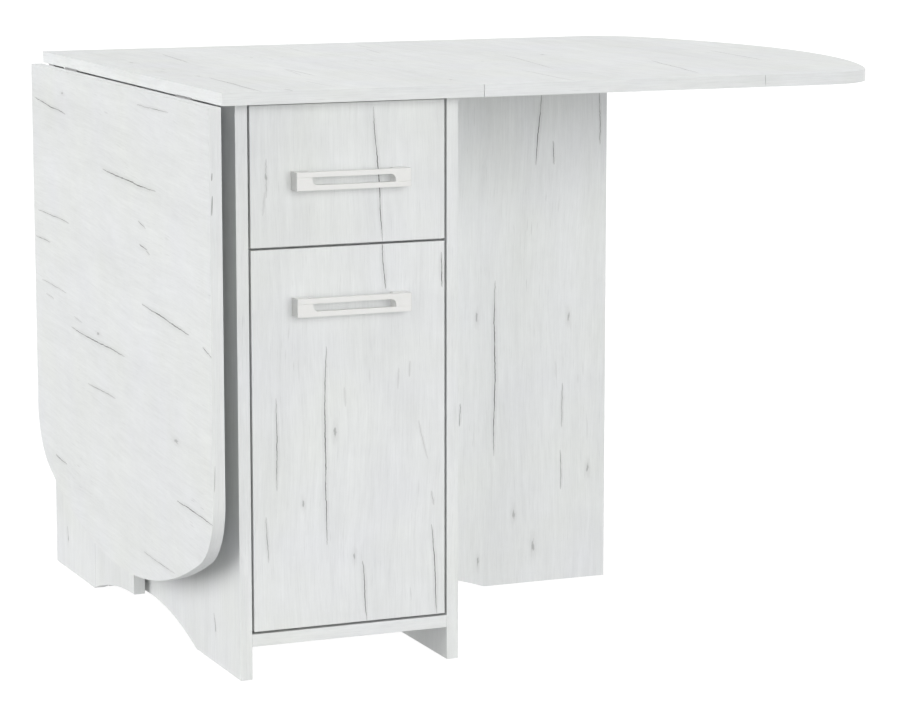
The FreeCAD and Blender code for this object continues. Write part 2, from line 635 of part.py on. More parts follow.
# ---------------------------------------------------------------- handles
def handle_body(name):
    """A bar handle with a slot behind it for the fingers and a window through its front.

    Two strips interlock: the upper one widens to the right foot, the lower one to the left foot.
    The window is round where a strip widens, and a fine groove runs from its sharp corners out.
    """
    long, high, low = size("handle_length"), size("handle_height"), size("handle_strip")
    inset, curve = size("handle_window_inset"), size("handle_curve")
    half = "dims.handle_length / 2"
    body = doc.addObject("PartDesign::Body", name)

    outline = new_sketch(body, name + "_outline", "XY_Plane")
    wide, deep = "dims.handle_length", "dims.handle_reach"
    rectangle(outline, f"-{half}", f"-{deep}", wide, deep)
    pad(body, outline, name + "_bar", "dims.handle_height")

    slot = new_sketch(body, name + "_slot", "XY_Plane")
    wide, deep = "dims.handle_length - 2 * dims.handle_foot", "dims.handle_reach - dims.handle_plate"
    rectangle(slot, f"dims.handle_foot - {half}", f"-({deep})", wide, deep)
    pocket(body, slot, name + "_fingers", "dims.handle_height", True)

    window = new_sketch(body, name + "_window", "XZ_Plane")
    window.setExpression("AttachmentOffset.Base.z", "dims.handle_reach")
    left, right, top = inset - long / 2, long / 2 - inset, high - low
    up = FreeCAD.Vector(0, 0, 1)
    low_round = Part.Circle(FreeCAD.Vector(left + curve, low + curve, 0), up, curve)
    top_round = Part.Circle(FreeCAD.Vector(right - curve, top - curve, 0), up, curve)
    window.addGeometry(
        [
            Part.LineSegment(FreeCAD.Vector(left, top, 0), FreeCAD.Vector(left, low + curve, 0)),
            Part.ArcOfCircle(low_round, 2 * QUARTER, 3 * QUARTER),
            Part.LineSegment(FreeCAD.Vector(left + curve, low, 0), FreeCAD.Vector(right, low, 0)),
            Part.LineSegment(FreeCAD.Vector(right, low, 0), FreeCAD.Vector(right, top - curve, 0)),
            Part.ArcOfCircle(top_round, 0, QUARTER),
            Part.LineSegment(FreeCAD.Vector(right - curve, top, 0), FreeCAD.Vector(left, top, 0)),
        ],
        False,
    )
    for k, kind in enumerate(("Tangent", "Tangent", "Coincident", "Tangent", "Tangent", "Coincident")):
        window.addConstraint(Sketcher.Constraint(kind, k, 2, (k + 1) % 6, 1))
    for k, kind in ((0, "Vertical"), (2, "Horizontal"), (3, "Vertical"), (5, "Horizontal")):
        window.addConstraint(Sketcher.Constraint(kind, k))
    window.addConstraint(Sketcher.Constraint("Equal", 1, 4))
    edge = "dims.handle_window_inset"
    dimension(window, "left", f"{edge} - {half}", "DistanceX", -1, 1, 0, 1, left)
    dimension(window, "right", f"{half} - {edge}", "DistanceX", -1, 1, 2, 2, right)
    dimension(window, "low", "dims.handle_strip", "DistanceY", -1, 1, 2, 1, low)
    top_edge = "dims.handle_height - dims.handle_strip"
    dimension(window, "top", top_edge, "DistanceY", -1, 1, 5, 2, top)
    dimension(window, "curve", "dims.handle_curve", "Radius", 1, curve)
    pocket(body, window, name + "_opening", "dims.handle_plate")

    lines = new_sketch(body, name + "_lines", "XZ_Plane")
    lines.setExpression("AttachmentOffset.Base.z", "dims.handle_reach")
    fine, low_line = "dims.handle_groove", "dims.handle_strip"
    rectangle(lines, f"-{half}", f"{top_edge} - {fine}", edge, fine)
    rectangle(lines, f"{half} - {edge}", low_line, edge, fine)
    pocket(body, lines, name + "_grooves", fine)
    return body


def make_handle(name, z):
    """A handle on a front, at the height z of its middle."""
    body = handle_body(name + "_bar")
    node(name, place(body, MID, FRONT, f"{z} - dims.handle_height / 2"))


# ---------------------------------------------------------------- drawer on roller runners
BOX_BACK = f"({FRONT} + dims.board + dims.drawer_length)"
CHANNEL_LOW = f"({DRAWER_LOW} + dims.runner_lift)"
CHANNEL_HIGH = "(3 * dims.runner_steel + 2 * dims.roller_radius + 3 * dims.roller_play)"
ROLLER_Z = f"({CHANNEL_LOW} + dims.runner_steel + dims.roller_play + dims.roller_radius)"
RAIL_FLANGE_Z = f"({ROLLER_Z} + dims.roller_radius + dims.roller_play)"
SHOE_LOW = f"({BOX_LOW} - dims.sheet_board - dims.runner_steel)"
ROLLER_IN = "((dims.runner_space - dims.roller_width) / 2)"


def beside_box(side, offset, width):
    """The low x of something beside the drawer box, offset outwards from the box."""
    if side == "right":
        return f"{MID} + {BOX_HALF} + {offset}"
    return f"{MID} - {BOX_HALF} - {offset} - {width}"


def section_bar(name, x, y, z, long, sign, corners):
    """A bar along Y from its section; the corners are outwards from the box and up."""
    body = doc.addObject("PartDesign::Body", name)
    sketch = new_sketch(body, name + "_section", "XZ_Plane")
    polygon(sketch, [(f"{sign} ({out})", up) for out, up in corners])
    pad(body, sketch, name + "_pad", long, reverse=True)
    return place(body, x, y, z)


def make_runner(side):
    """One roller runner: a channel on the cabinet and a rail under the drawer side.

    The rail's flange runs on the roller at the channel's mouth, and the roller at the rail's
    rear end runs inside the channel, under the channel's lip.
    """
    sign = "+" if side == "right" else "-"
    wall = f"{MID} {sign} {BOX_HALF}"
    space, steel, high = "dims.runner_space", "dims.runner_steel", CHANNEL_HIGH
    track, lip = f"{space} - dims.runner_foot", f"{space} - dims.runner_lip"
    section = [
        (space, "0"),
        (space, high),
        (lip, high),
        (lip, f"{high} - {steel}"),
        (f"{space} - {steel}", f"{high} - {steel}"),
        (f"{space} - {steel}", steel),
        (track, steel),
        (track, "0"),
    ]
    name = side + "_channel"
    long = "dims.drawer_length - dims.back_gap"
    bar = section_bar(name + "_bar", wall, BEHIND_FRONTS, CHANNEL_LOW, long, sign, section)
    axle_long = f"{space} - {ROLLER_IN}"
    front_y = f"{BEHIND_FRONTS} + dims.roller_radius + dims.roller_play"
    axle_x = beside_box(side, ROLLER_IN, f"({axle_long})")
    axle = rod(name + "_axle", axle_x, front_y, ROLLER_Z, "dims.axle_radius", axle_long, X_AXIS)
    channel = fuse(name, bar, axle)

    flange = f"{space} - 2 * {steel}"
    under, over = f"{RAIL_FLANGE_Z} - {SHOE_LOW}", f"{RAIL_FLANGE_Z} + {steel} - {SHOE_LOW}"
    section = [
        ("0 - dims.runner_foot", "0"),
        (steel, "0"),
        (steel, under),
        (flange, under),
        (flange, over),
        ("0", over),
        ("0", steel),
        ("0 - dims.runner_foot", steel),
    ]
    name = side + "_rail"
    start = f"{FRONT} + dims.board"
    bar = section_bar(name + "_bar", wall, start, SHOE_LOW, "dims.drawer_length", sign, section)
    rear_y = f"{BOX_BACK} - dims.roller_radius - dims.roller_play"
    axle_long = f"{ROLLER_IN} + dims.roller_width"
    axle_x = beside_box(side, "0", f"({axle_long})")
    axle = rod(name + "_axle", axle_x, rear_y, ROLLER_Z, "dims.axle_radius", axle_long, X_AXIS)
    rail = fuse(name, bar, axle)

    rollers = []
    for part, y in (("front", front_y), ("rear", rear_y)):
        name = f"{side}_{part}_roller"
        x = beside_box(side, ROLLER_IN, "dims.roller_width")
        wheel = rod(name + "_wheel", x, y, ROLLER_Z, "dims.roller_radius", "dims.roller_width", X_AXIS)
        hole = "dims.axle_radius + dims.pin_play"
        bore = rod(name + "_bore", x, y, ROLLER_Z, hole, "dims.roller_width", X_AXIS)
        rollers.append(cut(name, wheel, bore))
    return channel, rail, rollers


def make_drawer():
    front = box(
        "front_board",
        f"{MID} - {FRONT_WIDTH} / 2",
        FRONT,
        DRAWER_LOW,
        FRONT_WIDTH,
        "dims.board",
        "dims.drawer_front_height",
    )
    node("drawer_front", front)
    make_handle("drawer_handle", f"({DRAWER_LOW} + dims.drawer_handle_height)")

    start, high = f"{FRONT} + dims.board", "dims.drawer_side_height"
    for side in ("left", "right"):
        x = beside_box(side, "(0 - dims.board)", "dims.board")
        long = "dims.drawer_length"
        node(f"drawer_{side}_side", box(side + "_wall", x, start, BOX_LOW, "dims.board", long, high))
    low_x, wide = f"{MID} - {BOX_HALF}", f"2 * {BOX_HALF}"
    back_y = f"{BOX_BACK} - dims.board"
    inner_x, inner_wide = f"{low_x} + dims.board", f"{wide} - 2 * dims.board"
    node("drawer_back", box("back_wall", inner_x, back_y, BOX_LOW, inner_wide, "dims.board", high))
    under_z, thin, long = f"{BOX_LOW} - dims.sheet_board", "dims.sheet_board", "dims.drawer_length"
    node("drawer_bottom", box("bottom_sheet", low_x, start, under_z, wide, long, thin))

    channels, rails, front_rollers, rear_rollers = [], [], [], []
    for side in ("left", "right"):
        channel, rail, (front_roller, rear_roller) = make_runner(side)
        channels.append(channel)
        rails.append(rail)
        front_rollers.append(front_roller)
        rear_rollers.append(rear_roller)
    node("cabinet_runners", group("channel_pair", channels))
    node("drawer_runners", group("rail_pair", rails))
    node("front_rollers", group("front_roller_pair", front_rollers))
    node("rear_rollers", group("rear_roller_pair", rear_rollers))


# ---------------------------------------------------------------- door and its concealed hinges
CUP_X = f"({MID} + {HALF_INSIDE} - dims.front_gap - dims.cup_edge - dims.cup_radius)"
DOOR_BACK = f"({FRONT} + dims.board)"
NOSE_Y = f"({DOOR_BACK} + dims.cup_flange + dims.arm_play)"
HINGE_LEVELS = {
    "low": f"({DOOR_LOW} + dims.door_hinge_inset)",
    "high": f"({DOOR_TOP} - dims.door_hinge_inset)",
}


def hinge_cup(name, z):
    """A hinge cup let into the door, with its links folded into it on their pin."""
    cup = "dims.cup_radius - dims.cup_play"
    floor = f"{DOOR_BACK} - dims.cup_depth"
    shell = rod(name + "_shell", CUP_X, floor, z, cup, "dims.cup_depth", Y_AXIS)
    wide, high = "dims.cup_flange_width", "dims.cup_flange_height"
    flange = box(
        name + "_flange",
        f"{CUP_X} - {wide} / 2",
        DOOR_BACK,
        f"{z} - {high} / 2",
        wide,
        "dims.cup_flange",
        high,
    )
    wide, high = "dims.cup_mouth_width", "dims.cup_mouth_height"
    mouth = box(
        name + "_mouth",
        f"{CUP_X} - {wide} / 2",
        f"{floor} + dims.cup_wall",
        f"{z} - {high} / 2",
        wide,
        "dims.cup_depth + dims.cup_flange - dims.cup_wall",
        high,
    )
    hollow = cut(name + "_hollow", fuse(name + "_pressing", shell, flange), mouth)
    pin_x = f"{CUP_X} - {wide} / 4"
    pin_y = f"{DOOR_BACK} - dims.cup_depth / 2"
    pin = rod(name + "_pin", pin_x, pin_y, f"{z} - {high} / 2", "dims.link_pin_radius", high)
    link = box(
        name + "_link",
        pin_x,
        f"{pin_y} - dims.link_thick / 2",
        f"{z} - dims.link_width / 2",
        f"{wide} / 2 + dims.link_thick / 2",
        "dims.link_thick",
        "dims.link_width",
    )
    return fuse(name, hollow, pin, link)


def hinge_arm(name, z):
    """A cranked arm from its mounting plate to the mouth of the cup."""
    body = doc.addObject("PartDesign::Body", name)
    sketch = new_sketch(body, name + "_outline", "XY_Plane")
    base, over = "-dims.plate_thick", "-dims.plate_thick - dims.arm_rise"
    polygon(
        sketch,
        [
            (base, "dims.arm_length"),
            (base, "dims.arm_bend"),
            ("-dims.arm_crank", "0"),
            ("-dims.arm_crank - dims.arm_rise", "0"),
            (over, "dims.arm_bend"),
            (over, "dims.arm_length"),
        ],
    )
    pad(body, sketch, name + "_pad", "dims.arm_width")
    return place(body, f"{MID} + {HALF_INSIDE}", NOSE_Y, f"{z} - dims.arm_width / 2")


def hinge_plate(name, z):
    """The winged plate that carries the arm on the cabinet side."""
    x = f"{MID} + {HALF_INSIDE} - dims.plate_thick"
    rear = f"{NOSE_Y} + dims.arm_length"
    long, high, wing = "dims.plate_length", "dims.plate_height", "dims.plate_wing"
    thick, arm = "dims.plate_thick", "dims.arm_width"
    base = box(name + "_base", x, f"{rear} - {long}", f"{z} - {arm} / 2", thick, long, arm)
    wing_y = f"{rear} - {long} / 2 - {wing} / 2"
    wings = box(name + "_wings", x, wing_y, f"{z} - {high} / 2", thick, wing, high)
    return fuse(name, base, wings)


def make_door():
    board = box(
        "door_board",
        f"{MID} - {FRONT_WIDTH} / 2",
        FRONT,
        DOOR_LOW,
        FRONT_WIDTH,
        "dims.board",
        f"{DOOR_TOP} - {DOOR_LOW}",
    )
    seats, cups, arms, plates = [], [], [], []
    for level, z in HINGE_LEVELS.items():
        floor = f"{DOOR_BACK} - dims.cup_depth"
        name = "hinge_seat_" + level
        seats.append(rod(name, CUP_X, floor, z, "dims.cup_radius", "dims.cup_depth", Y_AXIS))
        cups.append(hinge_cup("hinge_cup_" + level, z))
        arms.append(hinge_arm("hinge_arm_" + level, z))
        plates.append(hinge_plate("hinge_plate_" + level, z))
    node("door", cut("door_with_seats", board, *seats))
    make_handle("door_handle", f"({DOOR_TOP} - dims.door_handle_drop)")
    node("door_hinge_cups", group("hinge_cup_pair", cups))
    node("door_hinge_arms", group("hinge_arm_pair", arms))
    node("door_hinge_plates", group("hinge_plate_pair", plates))


# ---------------------------------------------------------------- build, check and write
make_top_and_leaves()
make_leaf_hinges()
make_gates()
make_cabinet()
make_drawer()
make_door()
doc.recompute()

for thing in doc.Objects:
    if "Invalid" in thing.State or "Error" in thing.State:
        raise RuntimeError(f"{thing.Label} could not be built: {thing.State}")
for piece in nodes:
    if piece.Shape.isNull() or not piece.Shape.isValid():
        raise RuntimeError(f"{piece.Label} has no valid shape")

os.makedirs("parts", exist_ok=True)
for piece in nodes:
    piece.Shape.exportStep(f"parts/{piece.Label}.step")
print(len(nodes), "pieces written")
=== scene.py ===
"""The looks of a gateleg table: white craft oak boards, cream bar handles and steel fittings."""

import json
import math

import bmesh
import bpy
from mathutils import Matrix, Vector


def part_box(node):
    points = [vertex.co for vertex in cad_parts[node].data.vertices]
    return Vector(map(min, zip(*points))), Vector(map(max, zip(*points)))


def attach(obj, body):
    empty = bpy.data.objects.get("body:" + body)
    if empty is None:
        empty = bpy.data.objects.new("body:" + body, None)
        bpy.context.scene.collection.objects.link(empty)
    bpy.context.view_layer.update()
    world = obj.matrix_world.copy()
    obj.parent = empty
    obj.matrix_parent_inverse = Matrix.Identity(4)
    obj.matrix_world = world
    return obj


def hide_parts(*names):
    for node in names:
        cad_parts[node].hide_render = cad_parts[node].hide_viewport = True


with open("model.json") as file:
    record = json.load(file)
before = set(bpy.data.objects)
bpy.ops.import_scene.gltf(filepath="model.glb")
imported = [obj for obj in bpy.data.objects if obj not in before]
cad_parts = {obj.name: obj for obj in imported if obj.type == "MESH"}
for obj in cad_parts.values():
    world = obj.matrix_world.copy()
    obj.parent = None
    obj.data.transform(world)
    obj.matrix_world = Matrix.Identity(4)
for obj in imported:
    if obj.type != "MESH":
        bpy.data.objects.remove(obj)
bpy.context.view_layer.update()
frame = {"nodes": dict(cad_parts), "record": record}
nodes = frame["nodes"]
bodies = frame["record"]["behaviour"]["bodies"]
body_of = {node: body for body, members in bodies.items() for node in members}
MM = 0.001


# ---------------------------------------------------------------- material graphs
class Graph:
    """A material's nodes, with a short call for each kind that the looks need."""

    def __init__(self, name):
        self.material = bpy.data.materials.new(name)
        self.material.use_nodes = True
        self.tree = self.material.node_tree
        self.shader = self.tree.nodes["Principled BSDF"]

    def fill(self, socket, value):
        """Link a socket to an output, or set it to a plain value."""
        if isinstance(value, bpy.types.NodeSocket):
            self.tree.links.new(value, socket)
        else:
            socket.default_value = value

    def add(self, kind, *values, out=0, **settings):
        made = self.tree.nodes.new(kind)
        for key, value in settings.items():
            setattr(made, key, value)
        for k, value in enumerate(values):
            if value is not None:
                self.fill(made.inputs[k], value)
        return made.outputs[out]

    def math(self, operation, *values, clamp=False):
        return self.add("ShaderNodeMath", *values, operation=operation, use_clamp=clamp)

    def place(self):
        """The point on the piece, in metres, in the frame at rest."""
        return self.add("ShaderNodeTexCoord", out=3)

    def facing(self):
        """The way the surface faces, in the frame at rest."""
        return self.axes(self.add("ShaderNodeTexCoord", out=1))

    def axes(self, point):
        split = self.tree.nodes.new("ShaderNodeSeparateXYZ")
        self.fill(split.inputs[0], point)
        return dict(zip("XYZ", split.outputs))

    def vector(self, x, y, z):
        return self.add("ShaderNodeCombineXYZ", x, y, z)

    def noise(self, vector, scale=1.0, detail=2.0, roughness=0.5):
        made = self.tree.nodes.new("ShaderNodeTexNoise")
        self.fill(made.inputs["Vector"], vector)
        self.fill(made.inputs["Scale"], scale)
        self.fill(made.inputs["Detail"], detail)
        self.fill(made.inputs["Roughness"], roughness)
        return made.outputs["Fac"]

    def ramp(self, value, low, high, to_low=0.0, to_high=1.0):
        """The value carried smoothly from low..high to to_low..to_high."""
        made = self.tree.nodes.new("ShaderNodeMapRange")
        made.interpolation_type = "SMOOTHSTEP"
        for socket, number in zip(made.inputs, (value, low, high, to_low, to_high)):
            self.fill(socket, number)
        return made.outputs["Result"]

    def blend(self, factor, low, high, mode="MIX"):
        made = self.tree.nodes.new("ShaderNodeMix")
        made.data_type = "RGBA"
        made.blend_type = mode
        self.fill(made.inputs["Factor"], factor)
        self.fill(made.inputs[6], low)
        self.fill(made.inputs[7], high)
        return made.outputs[2]

    def sway(self, base, noise, reach):
        """The base carried to either side by up to half the reach, as the noise goes."""
        return self.math("MULTIPLY_ADD", self.math("SUBTRACT", noise, 0.5), reach, base)

    def bump(self, height, strength, distance):
        made = self.tree.nodes.new("ShaderNodeBump")
        self.fill(made.inputs["Strength"], strength)
        self.fill(made.inputs["Distance"], distance)
        self.fill(made.inputs["Height"], height)
        self.tree.links.new(made.outputs["Normal"], self.shader.inputs["Normal"])

    def finish(self, colour, roughness, **sockets):
        self.fill(self.shader.inputs["Base Color"], colour)
        self.fill(self.shader.inputs["Roughness"], roughness)
        for name, value in sockets.items():
            self.fill(self.shader.inputs[name.replace("_", " ")], value)
        return self.material


def grey(level, warm=0.0):
    """A grey of that lightness, a little warm above zero and cool below."""
    return (level * (1 + warm), level, level * (1 - warm), 1.0)


# ---------------------------------------------------------------- craft oak
# The noises that make a board's tone, coarse to fine: the rates across and along the fibres, the
# seed, the detail and roughness, and how much each lightens the board
TONE_LAYERS = (
    (8.0, 0.35, 0.0, 0.0, 0.5, 0.08),  # planks
    (34.0, 3.0, 11.0, 4.0, 0.7, 0.13),  # belts
    (160.0, 14.0, 31.0, 3.0, 0.7, 0.11),  # brush strokes
    (500.0, 14.0, 5.0, 3.0, 0.7, 0.11),  # fibres
)
BASE_TONE = 0.475
SEED_STEP = 3.7  # between the noises of one board and the next

# The other noises' rates across and along the fibres, and the seeds of those that have one
DRIFT_RATES = (5.0, 2.6)
BEND_RATES = (3.0, 11.0)
JAG_RATES = (20.0, 150.0)
BREAK_RATE = 70.0
PORE_RATES = (1100.0, 36.0, 9.0)
CHECK_RATES = (240.0, 24.0, 17.0)
HAIR_RATES = (360.0, 26.0, 41.0)
PATCH_RATES = (12.0, 5.0, 23.0)
FRAY_RATES = (600.0, 130.0, 13.0)

# Where each noise begins to show, and where it shows in full
PORE_RANGE = (0.60, 0.78)
CHECK_RANGE = (0.62, 0.76)
HAIR_RANGE = (0.78, 0.85)
PATCH_RANGE = (0.54, 0.72)
BREAK_RANGE = (0.30, 0.60)

# How far the clouds lighten a board and the pores darken it, and how green and blue go with the
# tint: the change over its whole range, and the start
CLOUD_SHARE = 0.09
PORE_SHARE = -0.06
GREEN_TINT = (-0.012, 1.026)
BLUE_TINT = (0.07, 0.979)

# From which turn a surface counts as an edge of the board, and an edge as one of its ends
EDGE_TURN = (0.45, 0.85)
END_TURN = (0.45, 0.75)

# How far the fibres wander, and a crack's line tears and frays, from side to side
FIBRE_WANDER = 34 * MM
CRACK_TEAR = 8 * MM
CRACK_FRAY = 2.2 * MM

# A knot's shape, in its radii: half its heart's length and width, how far it frays, and where
# its heart and its stain begin to fade and where they end
KNOT_LONG = 2.0
KNOT_WIDE = 0.6
KNOT_FRAY = 2.2
HEART_RANGE = (0.35, 0.95)
STAIN_RANGE = (0.6, 3.0)

# A crack is fully dark from this width in millimetres. Its core and the halo round it are in its
# own widths, and the slope from its edge is in its half widths.
DEEP_CRACK = 1.7
CRACK_CORE = 0.85
CRACK_HALO = 6.0
CRACK_SLOPE = (0.0, 0.5)
TIP_ROOM = 0.001 * MM  # keeps the tips from a division by nothing

# How much of the greyed or the dark wood shows in each kind of mark
BROKEN_SHADE = 0.55
HALO_SHADE = 0.12
CHECK_SHADE = 0.24
HAIR_SHADE = 0.30
HEART_SHADE = 0.42
STAIN_SHADE = 0.14
BAND_SHADE = 0.8
JOINT_SHADE = 0.8
DARKEST = 0.93  # of all marks together
GREYED_WOOD = grey(0.30, 0.02)
DARK_WOOD = grey(0.045, 0.03)

# The laminate's gloss and its pressed relief: cracks are duller, and sink in
PLAIN_ROUGHNESS = 0.42
FIBRE_ROUGHNESS = 0.16
CRACK_ROUGHNESS = 0.2
FIBRE_RELIEF = 0.5
RELIEF_STRENGTH = 0.22
RELIEF_DEPTH = 0.35 * MM


def crack_mask(g, along, across, crack):
    """How deep a point lies in one crack, 0 to 1.

    A crack is its two ends, each as along and across, and its width, in millimetres.
    """
    start, start_across, end, end_across, width = (length * MM for length in crack)
    half = (end - start) / 2
    lean = (end_across - start_across) / (end - start)
    run = g.math("SUBTRACT", along, start + half)
    share = g.math("DIVIDE", run, half)
    taper = g.math("SUBTRACT", 1.0, g.math("MULTIPLY", share, share), clamp=True)
    line = g.math("MULTIPLY_ADD", run, lean, (start_across + end_across) / 2)
    off = g.math("ABSOLUTE", g.math("SUBTRACT", across, line))
    room = g.math("MULTIPLY", g.math("SQRT", taper), width / 2)
    share_out = g.math("DIVIDE", off, g.math("ADD", room, TIP_ROOM))
    return g.ramp(g.math("SUBTRACT", 1.0, share_out, clamp=True), *CRACK_SLOPE)


def knot_masks(g, along, across, knot, fray):
    """A knot's dark heart and the stain round it; a knot is along, across and its radius in mm."""
    middle, middle_across, radius = (length * MM for length in knot)
    a = g.math("DIVIDE", g.math("SUBTRACT", along, middle), radius * KNOT_LONG)
    b = g.math("DIVIDE", g.math("SUBTRACT", across, middle_across), radius * KNOT_WIDE)
    far = g.math("SQRT", g.math("ADD", g.math("MULTIPLY", a, a), g.math("MULTIPLY", b, b)))
    torn = g.sway(far, fray, KNOT_FRAY)
    return g.ramp(torn, *HEART_RANGE, 1.0, 0.0), g.ramp(torn, *STAIN_RANGE, 1.0, 0.0)


def oak(name, grain, cracks=(), knots=(), bands=(), joints=(), lean=0.0, follows="", shift=0.0):
    """White craft oak laminate whose fibres run along one axis of the piece.

    Cracks and knots are placed from the piece's low corner, along its grain and across it. The
    ends have a band of the same oak whose fibres run along the end; its own cracks are placed
    across the board and into its thickness, at the low end. A joint is a straight fine line.
    The fibres may lean from the grain's axis, and may follow on from another board's.
    """
    g = Graph(name)
    low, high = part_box(name)
    size = high - low
    others = [axis for axis in "XYZ" if axis != grain]
    cross, thick = sorted(others, key=lambda axis: -size["XYZ".index(axis)])
    at, faces = g.axes(g.place()), g.facing()
    along = g.math("SUBTRACT", at[grain], low["XYZ".index(grain)])
    across = g.math("SUBTRACT", at[cross], low["XYZ".index(cross)])
    depth = g.math("SUBTRACT", at[thick], low["XYZ".index(thick)])
    edge = g.ramp(g.math("ABSOLUTE", faces[thick]), *EDGE_TURN, 1.0, 0.0)
    end = g.math("MULTIPLY", edge, g.ramp(g.math("ABSOLUTE", faces[grain]), *END_TURN))
    face = g.math("SUBTRACT", 1.0, end)

    def flat(sideways, side_rate, run_rate):
        """A noise's point from a way across the face and the way along it."""
        return g.vector(
            g.math("MULTIPLY", sideways, side_rate), shift, g.math("MULTIPLY", along, run_rate)
        )

    # the fibres wander from the grain's line
    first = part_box(follows or name)[0]
    fibre = g.math("SUBTRACT", at[cross], first["XYZ".index(cross)])
    fibre = g.math("MULTIPLY_ADD", along, -lean, fibre)
    drift = g.noise(flat(fibre, *DRIFT_RATES), detail=2.0)
    run = g.math("ADD", g.math("MULTIPLY", along, face), g.math("MULTIPLY", across, end))
    side = g.math("MULTIPLY", g.sway(fibre, drift, FIBRE_WANDER), face)

    def stretched(side_rate, run_rate, seed=0.0):
        """A noise's point, drawn out along the fibres."""
        return g.vector(
            g.math("MULTIPLY", side, side_rate),
            g.math("MULTIPLY", depth, side_rate),
            g.math("MULTIPLY_ADD", run, run_rate, shift + seed),
        )

    # a crack's line bends slowly and is jagged
    bend = g.noise(flat(across, *BEND_RATES), detail=2.0, roughness=0.35)
    jag = g.noise(flat(across, *JAG_RATES), detail=2.0, roughness=0.6)
    torn = g.sway(g.sway(across, bend, CRACK_TEAR), jag, CRACK_FRAY)

    level = BASE_TONE
    for side_rate, run_rate, seed, detail, roughness, amount in TONE_LAYERS:
        point = stretched(side_rate, run_rate, seed)
        fibres = g.noise(point, detail=detail, roughness=roughness)
        level = g.math("MULTIPLY_ADD", fibres, amount, level)
    clouds = g.noise(g.place(), scale=16.0, detail=5.0, roughness=0.75)
    level = g.math("MULTIPLY_ADD", clouds, CLOUD_SHARE, level)
    pores = g.noise(stretched(*PORE_RATES), detail=1.0)
    level = g.math("MULTIPLY_ADD", g.ramp(pores, *PORE_RANGE), PORE_SHARE, level)
    tint = g.noise(g.place(), scale=9.0, detail=2.0)
    colour = g.vector(
        level,
        g.math("MULTIPLY", level, g.math("MULTIPLY_ADD", tint, *GREEN_TINT)),
        g.math("MULTIPLY", level, g.math("MULTIPLY_ADD", tint, *BLUE_TINT)),
    )

    # fine checks lie along the fibres in a few patches, and darker ones where they are strongest
    checks = g.noise(stretched(*CHECK_RATES), detail=1.0)
    patch = g.ramp(g.noise(stretched(*PATCH_RATES), detail=1.0), *PATCH_RANGE)
    soft = g.math("MULTIPLY", g.ramp(checks, *CHECK_RANGE), g.math("MULTIPLY", patch, CHECK_SHADE))
    hair = g.noise(stretched(*HAIR_RATES), detail=0.0)
    dark = g.math("MULTIPLY", g.ramp(hair, *HAIR_RANGE), g.math("MULTIPLY", patch, HAIR_SHADE))

    # the cracks, each broken up along its line, and greyed wood beside it
    broken = g.noise(g.vector(shift, 0.0, g.math("MULTIPLY", along, BREAK_RATE)), detail=2.0)
    for *ends, width in cracks:
        open_share = min(1.0, (width / DEEP_CRACK) ** 2)
        core = crack_mask(g, along, torn, (*ends, width * CRACK_CORE))
        fade = g.ramp(broken, *BREAK_RANGE, BROKEN_SHADE * open_share, open_share)
        dark = g.math("MAXIMUM", dark, g.math("MULTIPLY", g.math("MULTIPLY", core, face), fade))
        halo = crack_mask(g, along, torn, (*ends, CRACK_HALO * width))
        shade = g.math("MULTIPLY", face, HALO_SHADE)
        soft = g.math("MAXIMUM", soft, g.math("MULTIPLY", halo, shade))
    fray = g.noise(stretched(*FRAY_RATES), detail=2.0)
    for knot in knots:
        heart, stain = knot_masks(g, along, torn, knot, fray)
        dark = g.math("MAXIMUM", dark, g.math("MULTIPLY", heart, HEART_SHADE))
        soft = g.math("MAXIMUM", soft, g.math("MULTIPLY", stain, STAIN_SHADE))
    for crack in bands:
        mask = g.math("MULTIPLY", crack_mask(g, across, depth, crack), end)
        dark = g.math("MAXIMUM", dark, g.math("MULTIPLY", mask, BAND_SHADE))
    for joint in joints:
        line = g.math("MULTIPLY", crack_mask(g, along, across, joint), face)
        soft = g.math("MAXIMUM", soft, g.math("MULTIPLY", line, JOINT_SHADE))
    colour = g.blend(soft, colour, GREYED_WOOD)
    colour = g.blend(g.math("MULTIPLY", dark, DARKEST), colour, DARK_WOOD)

    rough = g.math("MULTIPLY_ADD", fibres, FIBRE_ROUGHNESS, PLAIN_ROUGHNESS)
    rough = g.math("MULTIPLY_ADD", dark, CRACK_ROUGHNESS, rough)
    relief = g.math("MULTIPLY_ADD", dark, -1.0, g.math("MULTIPLY", fibres, FIBRE_RELIEF))
    g.bump(relief, RELIEF_STRENGTH, RELIEF_DEPTH)
    return g.finish(colour, rough)


